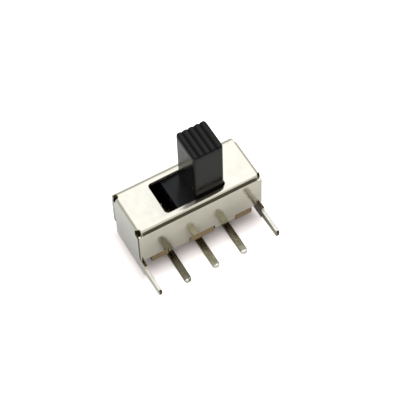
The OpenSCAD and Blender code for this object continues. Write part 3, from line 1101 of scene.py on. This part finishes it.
def black_moulding(name):
    """Black plastic with a slight gloss, a very fine grain, rubbed edges and a little dust."""
    material, tree = new_material(name)
    grain = mask(tree, MOTTLE, {"Size": 0.03, "Detail": 3.0, "Seed": 1.0})
    cloud = mask(tree, MOTTLE, {"Size": 0.7, "Detail": 3.0, "Seed": 2.0})
    worn = mask(tree, EDGE_WEAR, {"Reach": 0.05, "Break": 0.15})
    dust = mask(tree, DUST, {"Spacing": 0.45, "Share": 0.16, "Speck": 0.11})
    colour = blend(tree, cloud, BLACK, BLACK_CLOUD)
    colour = blend(tree, faded(tree, worn, 0.35), colour, RUBBED_BLACK)
    colour = blend(tree, faded(tree, dust, 0.5), colour, DUST_GREY)
    roughness = plus(tree, ramp(tree, cloud, 0, 1, 0.16, 0.24), (dust, 0.4))
    end_with_bumps(tree, grain, 0.5, 0.001, {
        "Base Color": colour, "Roughness": roughness, "IOR": 1.28})
    return material


# -------------------- camera, floor and light

# Camera: lengths in millimetres, angles in degrees
SENSOR_W = 36
LENS = 148.24
CAMERA_TARGET = (0.301, 1.057, 4.023)
CAMERA_DISTANCE = 99.42
CAMERA_AZIMUTH = -27.70
CAMERA_ELEVATION = 56.72
CAMERA_ROLL = -2.50
CLIP_START = 10
CLIP_END = 2000

# Paper under the switch. It adds light where the camera sees it, and some where reflections do: from
# nothing at the first distance from the cover's outline to its full level at the second. Where it falls
# away, round and under the switch, it leaves painted shade over the real shadow
FLOOR_SIDE = 1200
SEEN_RANGE = (-0.8, 1.2)
SEEN_LIFT = 0.95
MIRRORED_RANGE = (-0.3, 2.8)
MIRRORED_LIFT = 0.24
# Reflections show the paper cool up to the first place along X, and plain from the second: a painted
# reflection of cool light from the left
COOL_SIDE_X = (-4.9, -3.7)

# Softbox behind and above the switch
SOFTBOX_AZIMUTH = 152.3
SOFTBOX_ELEVATION = 62
SOFTBOX_DISTANCE = 350
SOFTBOX_W = 360
SOFTBOX_H = 300
SOFTBOX_RADIANCE = 0.86

# Upright card in front of the switch, and its middle
CARD_W = 17
CARD_H = 25.6
CARD_PLACE = (4.5, -15, 12.7)

# Level of the air that lights the switch, then of the background and the ceiling, and of the
# walls. In reflections the walls give way to the ceiling between these heights, as sines
AIR_LEVEL = 0.9
CEILING_LEVEL = 1.0
WALL_LEVEL = 0.66
WALL_TOP = (0.68, 0.84)


def toward(azimuth, elevation):
    """Unit vector from the switch to a place seen at that azimuth and elevation, in degrees."""
    a = math.radians(azimuth)
    e = math.radians(elevation)
    return Vector((math.sin(a) * math.cos(e), -math.cos(a) * math.cos(e), math.sin(e)))


def face_against(thing, direction):
    """Turns a camera or a lamp so that it looks against a direction."""
    thing.rotation_mode = "QUATERNION"
    thing.rotation_quaternion = (-direction).to_track_quat("-Z", "Y")


def make_camera():
    """A long lens that looks down on the switch from its front left."""
    camera = bpy.data.objects.new("camera", bpy.data.cameras.new("camera"))
    scene.collection.objects.link(camera)
    camera.data.sensor_width = SENSOR_W
    camera.data.lens = LENS
    camera.data.clip_start = CLIP_START * MM
    camera.data.clip_end = CLIP_END * MM
    back = toward(CAMERA_AZIMUTH, CAMERA_ELEVATION)
    face_against(camera, back)
    roll = Matrix.Rotation(math.radians(CAMERA_ROLL), 3, "Z").to_quaternion()
    camera.rotation_quaternion = camera.rotation_quaternion @ roll
    camera.location = Vector(CAMERA_TARGET) * MM + back * CAMERA_DISTANCE * MM
    scene.camera = camera


def flat_sheet(name, width, depth, material):
    """A rectangle about the origin, facing +Z, with its sides in millimetres."""
    mesh = bpy.data.meshes.new(name)
    x = width * MM / 2
    y = depth * MM / 2
    mesh.from_pydata([(-x, -y, 0), (x, -y, 0), (x, y, 0), (-x, y, 0)], [], [(0, 1, 2, 3)])
    mesh.materials.append(material)
    sheet = bpy.data.objects.new(name, mesh)
    scene.collection.objects.link(sheet)
    return sheet


def footprint_distance(tree):
    """Distance from the cover's outline on the floor in millimetres, below zero inside it."""
    from_middle = math_node(tree, "SUBTRACT", position(tree, "Y"), MID_Y)
    along = math_node(tree, "ABSOLUTE", position(tree, "X"))
    along = math_node(tree, "SUBTRACT", along, HALF_L)
    across = math_node(tree, "ABSOLUTE", from_middle)
    across = math_node(tree, "SUBTRACT", across, HALF_W)
    past = add(tree, "ShaderNodeCombineXYZ", {
        0: math_node(tree, "MAXIMUM", along, 0.0), 1: math_node(tree, "MAXIMUM", across, 0.0)})
    outside = add(tree, "ShaderNodeVectorMath", {0: past.outputs[0]}, operation="LENGTH")
    inside = math_node(tree, "MINIMUM", math_node(tree, "MAXIMUM", along, across), 0.0)
    return math_node(tree, "ADD", outside.outputs["Value"], inside)


def make_floor():
    """White paper under the switch, which keeps its shadow, with painted shade round it where its added
    light falls away.
    """
    material, tree = new_material("white_paper")
    path = add(tree, "ShaderNodeLightPath").outputs
    side = ramp(tree, position(tree, "X"), *COOL_SIDE_X)
    mirrored = blend(tree, side, MIRRORED_COOL_PAPER, MIRRORED_PAPER)
    colour = blend(tree, path["Is Glossy Ray"], PAPER, mirrored)
    paper = add(tree, "ShaderNodeBsdfPrincipled", {
        "Base Color": colour, "Roughness": 0.9, "Specular IOR Level": 0.1})
    # Painted shade: the added light falls to nothing towards and under the switch, as the camera sees
    # it and in reflections
    outside = footprint_distance(tree)
    near = ramp(tree, outside, *SEEN_RANGE, 0.0, SEEN_LIFT)
    far = ramp(tree, outside, *MIRRORED_RANGE, 0.0, MIRRORED_LIFT)
    seen = math_node(tree, "MULTIPLY", path["Is Camera Ray"], near)
    level = plus(tree, seen, (path["Is Glossy Ray"], far))
    tint = blend(tree, path["Is Glossy Ray"], PAPER_GLOW, MIRRORED_GLOW)
    lift = add(tree, "ShaderNodeEmission", {"Color": tint, "Strength": level})
    end_with(tree, add(tree, "ShaderNodeAddShader", {0: paper.outputs[0], 1: lift.outputs[0]}))
    floor = flat_sheet("floor", FLOOR_SIDE, FLOOR_SIDE, material)
    floor.location.z = cad_box[0].z


def make_softbox():
    """A rectangular lamp that faces the switch, and shows only in what reflects it."""
    width = SOFTBOX_W * MM
    height = SOFTBOX_H * MM
    lamp = bpy.data.lights.new("key_softbox", "AREA")
    lamp.shape = "RECTANGLE"
    lamp.size = width
    lamp.size_y = height
    lamp.energy = SOFTBOX_RADIANCE * math.pi * width * height
    lamp.color = SOFTBOX_COLOUR
    box = bpy.data.objects.new("key_softbox", lamp)
    scene.collection.objects.link(box)
    direction = toward(SOFTBOX_AZIMUTH, SOFTBOX_ELEVATION)
    box.location = direction * SOFTBOX_DISTANCE * MM
    face_against(box, direction)
    box.visible_diffuse = False


def make_card():
    """A dark card in front, which only reflections see, so that folds stand out."""
    material, tree = new_material("front_card")
    end_with(tree, add(tree, "ShaderNodeEmission", {"Color": CARD}))
    card = flat_sheet("front_card", CARD_W, CARD_H, material)
    card.location = Vector(CARD_PLACE) * MM
    card.rotation_euler.x = QUARTER
    card.visible_camera = False
    card.visible_diffuse = False
    card.visible_shadow = False


def make_world():
    """Even light from all round. Reflections see a white ceiling over darker walls."""
    world = bpy.data.worlds.new("studio")
    world.use_nodes = True
    tree = world.node_tree
    tree.nodes.clear()
    output = tree.nodes.new("ShaderNodeOutputWorld")
    path = add(tree, "ShaderNodeLightPath").outputs
    way = add(tree, "ShaderNodeTexCoord")
    rise = add(tree, "ShaderNodeSeparateXYZ", {0: way.outputs["Generated"]})
    mirrored = ramp(tree, rise.outputs["Z"], *WALL_TOP, WALL_LEVEL, CEILING_LEVEL)
    lit = ramp(tree, path["Is Glossy Ray"], 0, 1, AIR_LEVEL, mirrored)
    level = ramp(tree, path["Is Camera Ray"], 0, 1, lit, CEILING_LEVEL)
    tint = blend(tree, path["Is Glossy Ray"], AIR, MIRRORED_AIR)
    air = add(tree, "ShaderNodeBackground", {"Color": tint, "Strength": level})
    tree.links.new(air.outputs[0], output.inputs["Surface"])
    scene.world = world


# -------------------- the switch

scene.view_settings.view_transform = "Standard"
make_camera()
make_floor()
make_world()
make_softbox()
make_card()

make_cover([
    tinned_sheet("tinned_steel", TIN, TIN_CLOUD, smooth=0.11, rough=0.17, wave=0.6),
    # The inside faces: tin with painted shade, darker overall and darker still towards the back
    tinned_sheet("tinned_steel_inside_shaded", SHADED_INNER_TIN, SHADED_INNER_TIN_CLOUD, smooth=0.2, rough=0.3,
                 wave=0.6, painted_shade=0.75),
    sheared_edge("cut_steel", STEEL, TORN_STEEL),
    sheared_edge("cut_steel_shaded", SHADED_STEEL, SHADED_TORN_STEEL),
])
make_board([laminate_board("laminate")])
# Side, place, grey of the strip and reach of the tin: the solder bath took each pin differently, and
# the greys and the right pin's long bright tip are also painted reflection of how each pin catches the
# light
for side, x, plating_and_reflection_grey, tin_and_highlight_reach in (("left", -PITCH, 0.32, 0.05), ("middle", 0, 0.66, 0.12),
                                       ("right", PITCH, 0.54, 0.36)):
    make_terminal(side, x, [terminal_finish("terminal_metal_" + side, plating_and_reflection_grey, tin_and_highlight_reach)])
make_slider([black_moulding("black_moulding")])
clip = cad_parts["contact_clip"].data
clip.materials.clear()
clip.materials.append(tinned_sheet("clip_metal", BRONZE, BRONZE_CLOUD, smooth=0.2, rough=0.3,
                                   wave=0.3))
